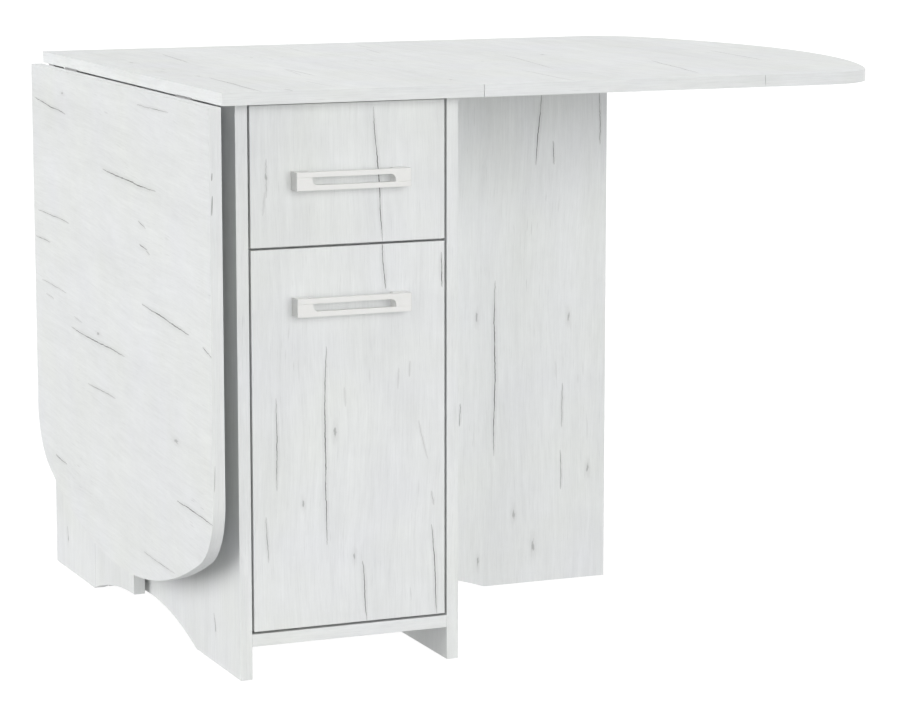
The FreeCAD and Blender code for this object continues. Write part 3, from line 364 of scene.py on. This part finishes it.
# Each board's grain, and what shows on it, in millimetres from its low corner: a crack or a joint
# as its two ends, along and across, and its width; a knot as its place and its radius; and a crack
# in the band at its low end, across and into the thickness
BOARDS = {
    "table_top": {
        "grain": "Y",
        "cracks": [(0, 52, 240, 64, 1.6), (214, 203, 340, 206, 1.2), (232, 190, 335, 203, 1.0),
                   (495, 122, 669, 138, 1.5), (31, 161, 146, 160, 1.0), (0, 92, 27, 91, 1.8),
                   (660, 345, 740, 352, 1.0)],
        "knots": [(84, 340, 3), (268, 60, 3), (530, 51, 4)],
    },
    "right_leaf": {
        "grain": "Y",
        "follows": "table_top",
        "cracks": [(65, 335, 290, 378, 1.5), (235, 525, 432, 542, 1.4), (0, 128, 200, 140, 1.2),
                   (200, 190, 470, 232, 1.2), (560, 80, 660, 96, 1.0),
                   (662, 110, 743, 112, 1.2)],
        "knots": [(450, 285, 4)],
        "bands": [(401.2, 15, 402.2, 3, 12)],
    },
    "left_leaf": {
        "grain": "Y",
        "lean": 0.06,
        "cracks": [(624, 600, 780, 613, 1.8), (216, 535, 451, 541, 2.2), (158, 641, 292, 642, 1.4),
                   (615, 447, 775, 452, 1.5), (712, 410, 790, 413, 1.5), (636, 346, 761, 352, 1.3),
                   (87, 366, 284, 380, 2.4), (0, 350, 34, 359, 1.8), (363, 296, 615, 301, 2.0),
                   (408, 231, 538, 234, 1.5), (650, 98, 706, 102, 1.8), (0, 138, 146, 141, 2.0),
                   (158, 43, 292, 44, 1.4), (700, 330, 740, 333, 1.2), (560, 316, 600, 318, 1.1),
                   (262, 483, 294, 490, 1.5), (256, 455, 290, 459, 1.8),
                   (246, 450, 262, 454, 1.5)],
        "knots": [(638, 628, 3), (484, 311, 4), (145, 219, 5)],
        "bands": [(527, 2.5, 552, 3.5, 1.8), (570, 3, 580, 3.5, 1.4), (180, 2, 214, 3, 0.8)],
    },
    "left_side_panel": {"grain": "Z", "cracks": [(42, 96, 66, 104, 1.9)], "knots": [(47, 98, 3)]},
    "right_side_panel": {"grain": "Z"},
    "left_gate": {"grain": "Z", "cracks": [(40, 316, 64, 321, 1.6)], "knots": [(46, 318, 3)],
                  "joints": [(-50, 182, 760, 182, 2.0)]},
    "right_gate": {
        "grain": "Z",
        "cracks": [(600, 268, 700, 276, 2.0), (600, 296, 634, 295, 1.6), (625, 367, 700, 366, 1.6),
                   (188, 203, 440, 206, 2.2), (222, 310, 287, 310, 1.5), (132, 308, 190, 307, 1.5),
                   (235, 151, 268, 151, 1.6)],
        "knots": [(53, 265, 5), (37, 179, 3), (160, 350, 4), (101, 234, 4), (388, 178, 4),
                  (381, 320, 4)],
    },
    "drawer_front": {
        "grain": "Z",
        "cracks": [(0, 177, 172, 166, 1.9), (62, 20, 112, 22, 1.2), (40, 17, 70, 18, 0.9)],
        "knots": [(88, 21, 3)],
    },
    "door": {
        "grain": "Z",
        "cracks": [(430, 181, 492, 176, 1.9), (104, 99, 362, 98, 2.0), (180, 33, 300, 32, 1.6),
                   (88, 19, 148, 18, 1.4), (0, 251, 120, 243, 1.8), (0, 153, 80, 147, 1.7),
                   (428, 259, 474, 258, 1.8), (206, 238, 258, 227, 1.0), (145, 246, 164, 243, 1.2),
                   (282, 127, 308, 124, 0.9), (300, 198, 328, 198, 0.9),
                   (315, 213, 336, 213, 1.0)],
        "knots": [(250, 112, 4), (88, 136, 3), (161, 68, 3)],
    },
    "drawer_left_side": {"grain": "Y"},
    "drawer_right_side": {"grain": "Y"},
    "drawer_back": {"grain": "X"},
    "bottom_panel": {"grain": "Y"},
    "divider_panel": {"grain": "Y"},
    "top_front_rail": {"grain": "X"},
    "top_rear_rail": {"grain": "X"},
    "inner_shelf": {"grain": "Y"},
}


def smooth_plastic(name, level, warm, roughness):
    """Moulded or lacquered plastic: an even tone with a faint mottle and a fine grain."""
    g = Graph(name)
    mottle = g.noise(g.place(), scale=160.0, detail=3.0)
    colour = g.blend(mottle, grey(level * 0.97, warm), grey(level * 1.02, warm))
    grain = g.noise(g.place(), scale=2600.0, detail=1.0)
    g.bump(grain, strength=0.05, distance=0.05 * MM)
    return g.finish(colour, g.math("MULTIPLY_ADD", mottle, 0.12, roughness))


# The cast bar's cream where it is darkest and lightest, the painted shade on its end faces, and
# where that painted shade begins to fade and where it is gone
CREAM = ((0.745, 0.745, 0.725, 1.0), (0.785, 0.785, 0.77, 1.0))
END_FACE_SHADE_CREAM = (0.62, 0.625, 0.61, 1.0)
END_FACE_SHADE_DEPTH = (0.2 * MM, 0.9 * MM)


def handle_cream(node):
    """Cream lacquer on a cast bar, with painted shade on its end faces and a little wear."""
    g = Graph(node)
    low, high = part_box(node)
    x = g.axes(g.place())["X"]
    from_left = g.math("SUBTRACT", x, low.x)
    from_right = g.math("SUBTRACT", high.x, x)
    # painted shade: the bar is greyed within 0.2 to 0.9 mm of each end, for the shade on its end
    # faces
    end = g.ramp(g.math("MINIMUM", from_left, from_right), *END_FACE_SHADE_DEPTH, 1.0, 0.0)
    mottle = g.noise(g.place(), scale=90.0, detail=3.0)
    colour = g.blend(end, g.blend(mottle, *CREAM), END_FACE_SHADE_CREAM)
    g.bump(g.noise(g.place(), scale=1500.0, detail=2.0), strength=0.06, distance=0.05 * MM)
    return g.finish(colour, g.math("MULTIPLY_ADD", mottle, 0.10, 0.30))


ALONG_ROLL = 60.0
ACROSS_ROLL = 1800.0


def steel(name, level, roughness, axis):
    """Pressed steel with fine rolling lines along one axis, a little duller in places."""
    g = Graph(name)
    at = g.axes(g.place())
    rates = {way: ALONG_ROLL if way == axis else ACROSS_ROLL for way in "XYZ"}
    lines = g.noise(g.vector(*(g.math("MULTIPLY", at[way], rates[way]) for way in "XYZ")))
    dull = g.noise(g.place(), scale=70.0, detail=3.0)
    colour = g.blend(g.math("MULTIPLY_ADD", dull, 0.6, 0.2), grey(level * 0.86), grey(level, 0.01))
    g.bump(lines, strength=0.08, distance=0.05 * MM)
    return g.finish(colour, g.math("MULTIPLY_ADD", lines, 0.14, roughness), Metallic=1.0)


def white_paint(name, level, roughness):
    """Powder coat or lacquer: a fine orange peel over an even white."""
    g = Graph(name)
    peel = g.noise(g.place(), scale=900.0, detail=2.0)
    tone = g.noise(g.place(), scale=25.0, detail=2.0)
    g.bump(peel, strength=0.1, distance=0.06 * MM)
    colour = g.blend(tone, grey(level * 0.97), grey(level))
    return g.finish(colour, g.math("MULTIPLY_ADD", peel, 0.1, roughness))


# ---------------------------------------------------------------- pieces
SAME_POINT = 0.01 * MM
SAME_PLANE = math.radians(0.5)
SHARP = math.radians(35)

# How far each kind of piece has its edges eased
BOARD_EASE = 0.5 * MM
HANDLE_EASE = 0.7 * MM
ARM_EASE = 0.4 * MM
PAD_EASE = 1.2 * MM


def put_on(piece, material):
    piece.data.materials.clear()
    piece.data.materials.append(material)
    return piece


def eased(node, width):
    """The board as it leaves the works: its solid with the edges eased by that width.

    Its large faces stay flat in the light, and only the eased edges and the curves are smooth.
    """
    mesh = nodes[node].data.copy()
    shape = bmesh.new()
    shape.from_mesh(mesh)
    bmesh.ops.remove_doubles(shape, verts=shape.verts, dist=SAME_POINT)
    bmesh.ops.dissolve_limit(
        shape, angle_limit=SAME_PLANE, verts=shape.verts, edges=shape.edges
    )
    for face in shape.faces:
        face.smooth = True
    shape.to_mesh(mesh)
    shape.free()
    piece = bpy.data.objects.new(node + "_board", mesh)
    bpy.context.scene.collection.objects.link(piece)
    edges = piece.modifiers.new("eased", "BEVEL")
    edges.width = width
    edges.segments = 2
    edges.limit_method = "ANGLE"
    edges.angle_limit = SHARP
    flat = piece.modifiers.new("flat", "WEIGHTED_NORMAL")
    flat.mode = "FACE_AREA"
    flat.weight = 100
    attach(piece, body_of[node])
    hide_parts(node)
    return piece


for name, looks in BOARDS.items():
    order = list(BOARDS).index(looks.get("follows", name))
    put_on(eased(name, BOARD_EASE), oak(name, shift=order * SEED_STEP, **looks))
for name in ("drawer_handle", "door_handle"):
    put_on(eased(name, HANDLE_EASE), handle_cream(name))

hinge_y = steel("hinge_steel_level", level=0.62, roughness=0.3, axis="Y")
hinge_z = steel("hinge_steel_upright", level=0.62, roughness=0.3, axis="Z")
for name, node in nodes.items():
    if "leaf_hinge" in name:
        put_on(node, hinge_y)
    elif "gate_hinge" in name or name == "door_hinge_cups":
        put_on(node, hinge_z)
for name in ("door_hinge_arms", "door_hinge_plates"):
    put_on(eased(name, ARM_EASE), hinge_z)
runner = white_paint("runner_coat", level=0.78, roughness=0.35)
put_on(nodes["cabinet_runners"], runner)
put_on(nodes["drawer_runners"], runner)
nylon = smooth_plastic("nylon", level=0.72, warm=0.01, roughness=0.35)
for name in ("front_rollers", "rear_rollers"):
    put_on(nodes[name], nylon)
for name in ("left_gate_pad", "right_gate_pad"):
    put_on(eased(name, PAD_EASE), nylon)
sheet_white = white_paint("sheet_white", level=0.80, roughness=0.5)
put_on(nodes["back_panel"], sheet_white)
put_on(nodes["drawer_bottom"], sheet_white)
put_on(nodes["shelf_pins"], hinge_y)


# ---------------------------------------------------------------- screws and nails
TURNS = 24
SUNK = 0.1 * MM
RINGS = (0.2, 0.42, 0.55, 0.75, 0.92, 1.0)  # shares of a head's radius
DOME = 0.8  # how round a head's top is, from 0 when flat
SOCKET = 0.5  # the share of the radius that a screw's cross reaches
SOCKET_DEPTH = 0.75  # shares of the head's rise
SOCKET_MIDDLE = 0.25

# Each kind of head's radius and rise
HINGE_HEAD = (3.0 * MM, 0.6 * MM)
FLANGE_HEAD = (3.4 * MM, 0.8 * MM)
ARM_HEAD = (3.6 * MM, 0.7 * MM)
HANDLE_HEAD = (4.0 * MM, 1.6 * MM)
RAIL_HEAD = (4.0 * MM, 1.2 * MM)
NAIL_HEAD = (1.8 * MM, 0.4 * MM)


def head(shape, at, faces, radius, rise, slotted):
    """One round head, closed and a little sunk: a low dome, with or without a driver's cross."""
    turn = Vector(faces).to_track_quat("Z", "Y").to_matrix().to_4x4()
    to_place = Matrix.Translation(Vector(at)) @ turn
    rings = []
    for share in RINGS:
        ring = []
        for k in range(TURNS):
            angle = 2 * math.pi * k / TURNS
            up = rise * math.sqrt(max(0.0, 1 - DOME * share**2))
            if slotted and share < SOCKET and k % (TURNS // 4) == 0:
                up -= SOCKET_DEPTH * rise
            out = radius * share
            spot = Vector((out * math.cos(angle), out * math.sin(angle), up))
            ring.append(shape.verts.new(to_place @ spot))
        rings.append(ring)
    foot = []
    for k in range(TURNS):
        angle = 2 * math.pi * k / TURNS
        spot = Vector((radius * math.cos(angle), radius * math.sin(angle), -SUNK))
        foot.append(shape.verts.new(to_place @ spot))
    rings.append(foot)
    top = rise * SOCKET_MIDDLE if slotted else rise
    middle = shape.verts.new(to_place @ Vector((0, 0, top)))
    for k in range(TURNS):
        after = (k + 1) % TURNS
        shape.faces.new((middle, rings[0][k], rings[0][after]))
        for inner, outer in zip(rings, rings[1:]):
            shape.faces.new((inner[k], outer[k], outer[after], inner[after]))
    shape.faces.new(list(reversed(foot)))


def heads(name, body, spots, kind, slotted=True):
    """A set of screw or nail heads on one body; each spot is a place and the way it faces."""
    shape = bmesh.new()
    for at, faces in spots:
        head(shape, at, faces, *kind, slotted)
    for face in shape.faces:
        face.smooth = True
    mesh = bpy.data.meshes.new(name)
    shape.to_mesh(mesh)
    shape.free()
    piece = bpy.data.objects.new(name, mesh)
    bpy.context.scene.collection.objects.link(piece)
    put_on(piece, screw_steel)
    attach(piece, body)


screw_steel = steel("screw_steel", level=0.58, roughness=0.32, axis="Z")
HINGE_PLATE = 1.0 * MM
RUNNER_STEEL = 1.2 * MM
FROM_EDGE = 8 * MM

# A butt hinge's length, and how far its outer screws are from its middle one
LEAF_HINGE = (60 * MM, 21 * MM)
GATE_HINGE = (70 * MM, 25 * MM)


def pair_of_rows(low, high, long, reach):
    """Three screws on each of two hinges, the one starting at low and the other ending at high."""
    middles = (low + long / 2, high - long / 2)
    return [middle + step * reach for middle in middles for step in (-1, 0, 1)]


for side in ("left", "right"):
    for half in ("top", "leaf"):
        node = f"{side}_leaf_hinge_{half}_plates"
        low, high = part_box(node)
        rows = pair_of_rows(low.y, high.y, *LEAF_HINGE)
        if node == "left_leaf_hinge_leaf_plates":
            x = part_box("left_leaf")[1].x + HINGE_PLATE
            spots = [((x, y, low.z + FROM_EDGE), (1, 0, 0)) for y in rows]
        else:
            x = low.x + FROM_EDGE if node == "right_leaf_hinge_top_plates" else high.x - FROM_EDGE
            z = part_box("table_top")[0].z - HINGE_PLATE
            spots = [((x, y, z), (0, 0, -1)) for y in rows]
        heads(f"{side}_leaf_hinge_{half}_screws", body_of[node], spots, HINGE_HEAD)

    for half in ("side", "gate"):
        node = f"{side}_gate_hinge_{half}_plates"
        low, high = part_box(node)
        rows = pair_of_rows(low.z, high.z, *GATE_HINGE)
        if half == "side":
            x, faces = (high.x - HINGE_PLATE, -1) if side == "left" else (low.x + HINGE_PLATE, 1)
            spots = [((x, high.y - FROM_EDGE, z), (faces, 0, 0)) for z in rows]
        elif side == "left":
            spots = [((low.x + HINGE_PLATE, high.y - FROM_EDGE, z), (1, 0, 0)) for z in rows]
        else:
            spots = [((high.x - FROM_EDGE, low.y + HINGE_PLATE, z), (0, 1, 0)) for z in rows]
        heads(f"{side}_gate_hinge_{half}_screws", body_of[node], spots, HINGE_HEAD)

# the door's hinges: two screws through each cup's flange, each plate's wings and each arm
CUP_FLANGE_HALF = 30 * MM
CUP_SCREW = 25 * MM
WING_SCREW = 17 * MM
ARM_RISE = 11 * MM
ARM_SCREWS = (9 * MM, 28 * MM)  # from the arm's rear end
low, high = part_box("door_hinge_cups")
levels = (low.z + CUP_FLANGE_HALF, high.z - CUP_FLANGE_HALF)
middle_x = (low.x + high.x) / 2
spots = [((middle_x, high.y, z + d), (0, 1, 0)) for z in levels for d in (-CUP_SCREW, CUP_SCREW)]
heads("door_hinge_cup_screws", "door", spots, FLANGE_HEAD)
low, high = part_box("door_hinge_plates")
middle_y = (low.y + high.y) / 2
spots = [((low.x, middle_y, z + d), (-1, 0, 0)) for z in levels for d in (-WING_SCREW, WING_SCREW)]
heads("door_hinge_plate_screws", "cabinet", spots, FLANGE_HEAD)
low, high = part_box("door_hinge_arms")
arm_face = high.x - ARM_RISE
spots = [((arm_face, high.y - d, z), (-1, 0, 0)) for z in levels for d in ARM_SCREWS]
heads("door_hinge_arm_screws", "cabinet", spots, ARM_HEAD)

# each handle is held by two screws from behind its front
HANDLE_SCREW = 10 * MM  # from the handle's end
for node in ("drawer", "door"):
    low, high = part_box(node + "_handle")
    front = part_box("door" if node == "door" else "drawer_front")[1]
    z = (low.z + high.z) / 2
    spots = [((x, front.y, z), (0, 1, 0)) for x in (low.x + HANDLE_SCREW, high.x - HANDLE_SCREW)]
    heads(node + "_handle_screws", node, spots, HANDLE_HEAD)

# the runners' channels are screwed to the cabinet's sides, and their rails up into the drawer's
RUNNER_SCREW = 60 * MM  # from the runner's end
SHOE_SCREW = 5 * MM  # from the drawer side's outer face
low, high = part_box("cabinet_runners")
z = (low.z + high.z) / 2
walls = ((low.x + RUNNER_STEEL, 1), (high.x - RUNNER_STEEL, -1))
places = (low.y + RUNNER_SCREW, (low.y + high.y) / 2, high.y - RUNNER_SCREW)
spots = [((x, y, z), (faces, 0, 0)) for y in places for x, faces in walls]
heads("cabinet_runner_screws", "cabinet", spots, HINGE_HEAD)
low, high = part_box("drawer_runners")
outer = (
    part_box("drawer_left_side")[0].x + SHOE_SCREW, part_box("drawer_right_side")[1].x - SHOE_SCREW
)
places = (low.y + RUNNER_SCREW, 0.0, high.y - RUNNER_SCREW)
spots = [((x, y, low.z), (0, 0, -1)) for x in outer for y in places]
heads("drawer_runner_screws", "drawer", spots, HINGE_HEAD)

# two screws through each rail hold the top, and nails hold the back sheet
RAIL_SCREW = 80 * MM  # from the rail's middle
NAIL_EDGE = 7 * MM
NAIL_ROWS = 8
NAIL_INSET = 100 * MM  # from the sheet's sides, for the nails along its ends
spots = []
for node in ("top_front_rail", "top_rear_rail"):
    low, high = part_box(node)
    middle = (low + high) / 2
    spots += [((middle.x + d, middle.y, low.z), (0, 0, -1)) for d in (-RAIL_SCREW, RAIL_SCREW)]
heads("top_rail_screws", "cabinet", spots, RAIL_HEAD)
low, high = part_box("back_panel")
rise = (high.z - low.z - 2 * NAIL_EDGE) / (NAIL_ROWS - 1)
spots = []
for k in range(NAIL_ROWS):
    z = low.z + NAIL_EDGE + k * rise
    spots += [((x, high.y, z), (0, 1, 0)) for x in (low.x + NAIL_EDGE, high.x - NAIL_EDGE)]
for x in (low.x + NAIL_INSET, high.x - NAIL_INSET):
    spots += [((x, high.y, z), (0, 1, 0)) for z in (low.z + NAIL_EDGE, high.z - NAIL_EDGE)]
heads("back_panel_nails", "cabinet", spots, NAIL_HEAD, slotted=False)


# ---------------------------------------------------------------- studio
# The room's light by height, from -1 below to 1 above: the two heights of each ramp and the
# strengths at them
ROOM_RAMPS = ((0.06, 0.30, 1.0, 0.35), (-0.10, -0.02, 0.37, 1.0))
FLOOR_REACH = 60.0
FLOOR_DROP = 0.5 * MM
FLOOR_GLOW = 0.95
FLOOR_GREYS = (grey(0.12), grey(0.13))
FLOOR_ROUGHNESS = 0.9
WHITE = (1.0, 1.0, 1.0, 1.0)
LAMP_ANGLE = math.radians(50)

# Each lamp's name, the way towards it, its strength, and whether it shows as a sheen
LAMPS = (
    ("front", (0.05, -0.97, 0.14), 0.63, False),
    ("left", (-0.95, 0.10, 0.30), 0.55, False),
    ("right_rear", (0.80, 0.56, 0.20), 0.42, False),
    ("overhead", (0.0, 0.0, 1.0), 0.37, True),
)


def studio():
    """A white room, bright at eye level and dimmer above and below, with four very soft lamps."""
    world = bpy.data.worlds.new("studio")
    bpy.context.scene.world = world
    world.use_nodes = True
    tree = world.node_tree
    sky = tree.nodes["Background"]
    sky.inputs["Color"].default_value = WHITE
    way = tree.nodes.new("ShaderNodeTexCoord")
    split = tree.nodes.new("ShaderNodeSeparateXYZ")
    tree.links.new(way.outputs["Generated"], split.inputs[0])
    halves = []
    for values in ROOM_RAMPS:
        half = tree.nodes.new("ShaderNodeMapRange")
        for socket, value in zip(list(half.inputs)[1:], values):
            socket.default_value = value
        tree.links.new(split.outputs["Z"], half.inputs[0])
        halves.append(half.outputs[0])
    both = tree.nodes.new("ShaderNodeMath")
    both.operation = "MULTIPLY"
    for socket, half in zip(both.inputs, halves):
        tree.links.new(half, socket)
    tree.links.new(both.outputs[0], sky.inputs["Strength"])

    mesh = bpy.data.meshes.new("floor")
    corners = [(x * FLOOR_REACH, y * FLOOR_REACH) for x, y in ((-1, -1), (1, -1), (1, 1), (-1, 1))]
    mesh.from_pydata([(x, y, -FLOOR_DROP) for x, y in corners], [], [(0, 1, 2, 3)])
    floor = bpy.data.objects.new("floor", mesh)
    floor.visible_diffuse = False
    bpy.context.scene.collection.objects.link(floor)
    g = Graph("floor_white")
    tone = g.noise(g.place(), scale=3.0, detail=2.0)
    glow = {"Emission_Color": WHITE, "Emission_Strength": FLOOR_GLOW}
    mesh.materials.append(g.finish(g.blend(tone, *FLOOR_GREYS), FLOOR_ROUGHNESS, **glow))

    for name, toward, strength, sheen in LAMPS:
        lamp = bpy.data.lights.new(name, "SUN")
        lamp.angle = LAMP_ANGLE
        lamp.energy = strength * math.pi
        holder = bpy.data.objects.new(name, lamp)
        holder.rotation_euler = Vector(toward).to_track_quat("Z", "Y").to_euler()
        holder.visible_glossy = sheen
        bpy.context.scene.collection.objects.link(holder)


# The camera's sensor and lens in mm, its place, where it looks in degrees, and how far it sees
SENSOR = 36.0
LENS = 131.57
EYE = (-1.8029, -4.2151, 1.0839)
LOOK_DOWN = 9.37
LOOK_RIGHT = 22.858
FAR = 200.0


def camera():
    """A long lens from the front, a little to the left and above."""
    lens = bpy.data.cameras.new("camera")
    lens.sensor_width = SENSOR
    lens.lens = LENS
    lens.clip_end = FAR
    holder = bpy.data.objects.new("camera", lens)
    holder.location = EYE
    holder.rotation_euler = (math.radians(90 - LOOK_DOWN), 0.0, math.radians(-LOOK_RIGHT))
    bpy.context.scene.collection.objects.link(holder)
    bpy.context.scene.camera = holder


studio()
camera()
bpy.context.scene.view_settings.view_transform = "Standard"
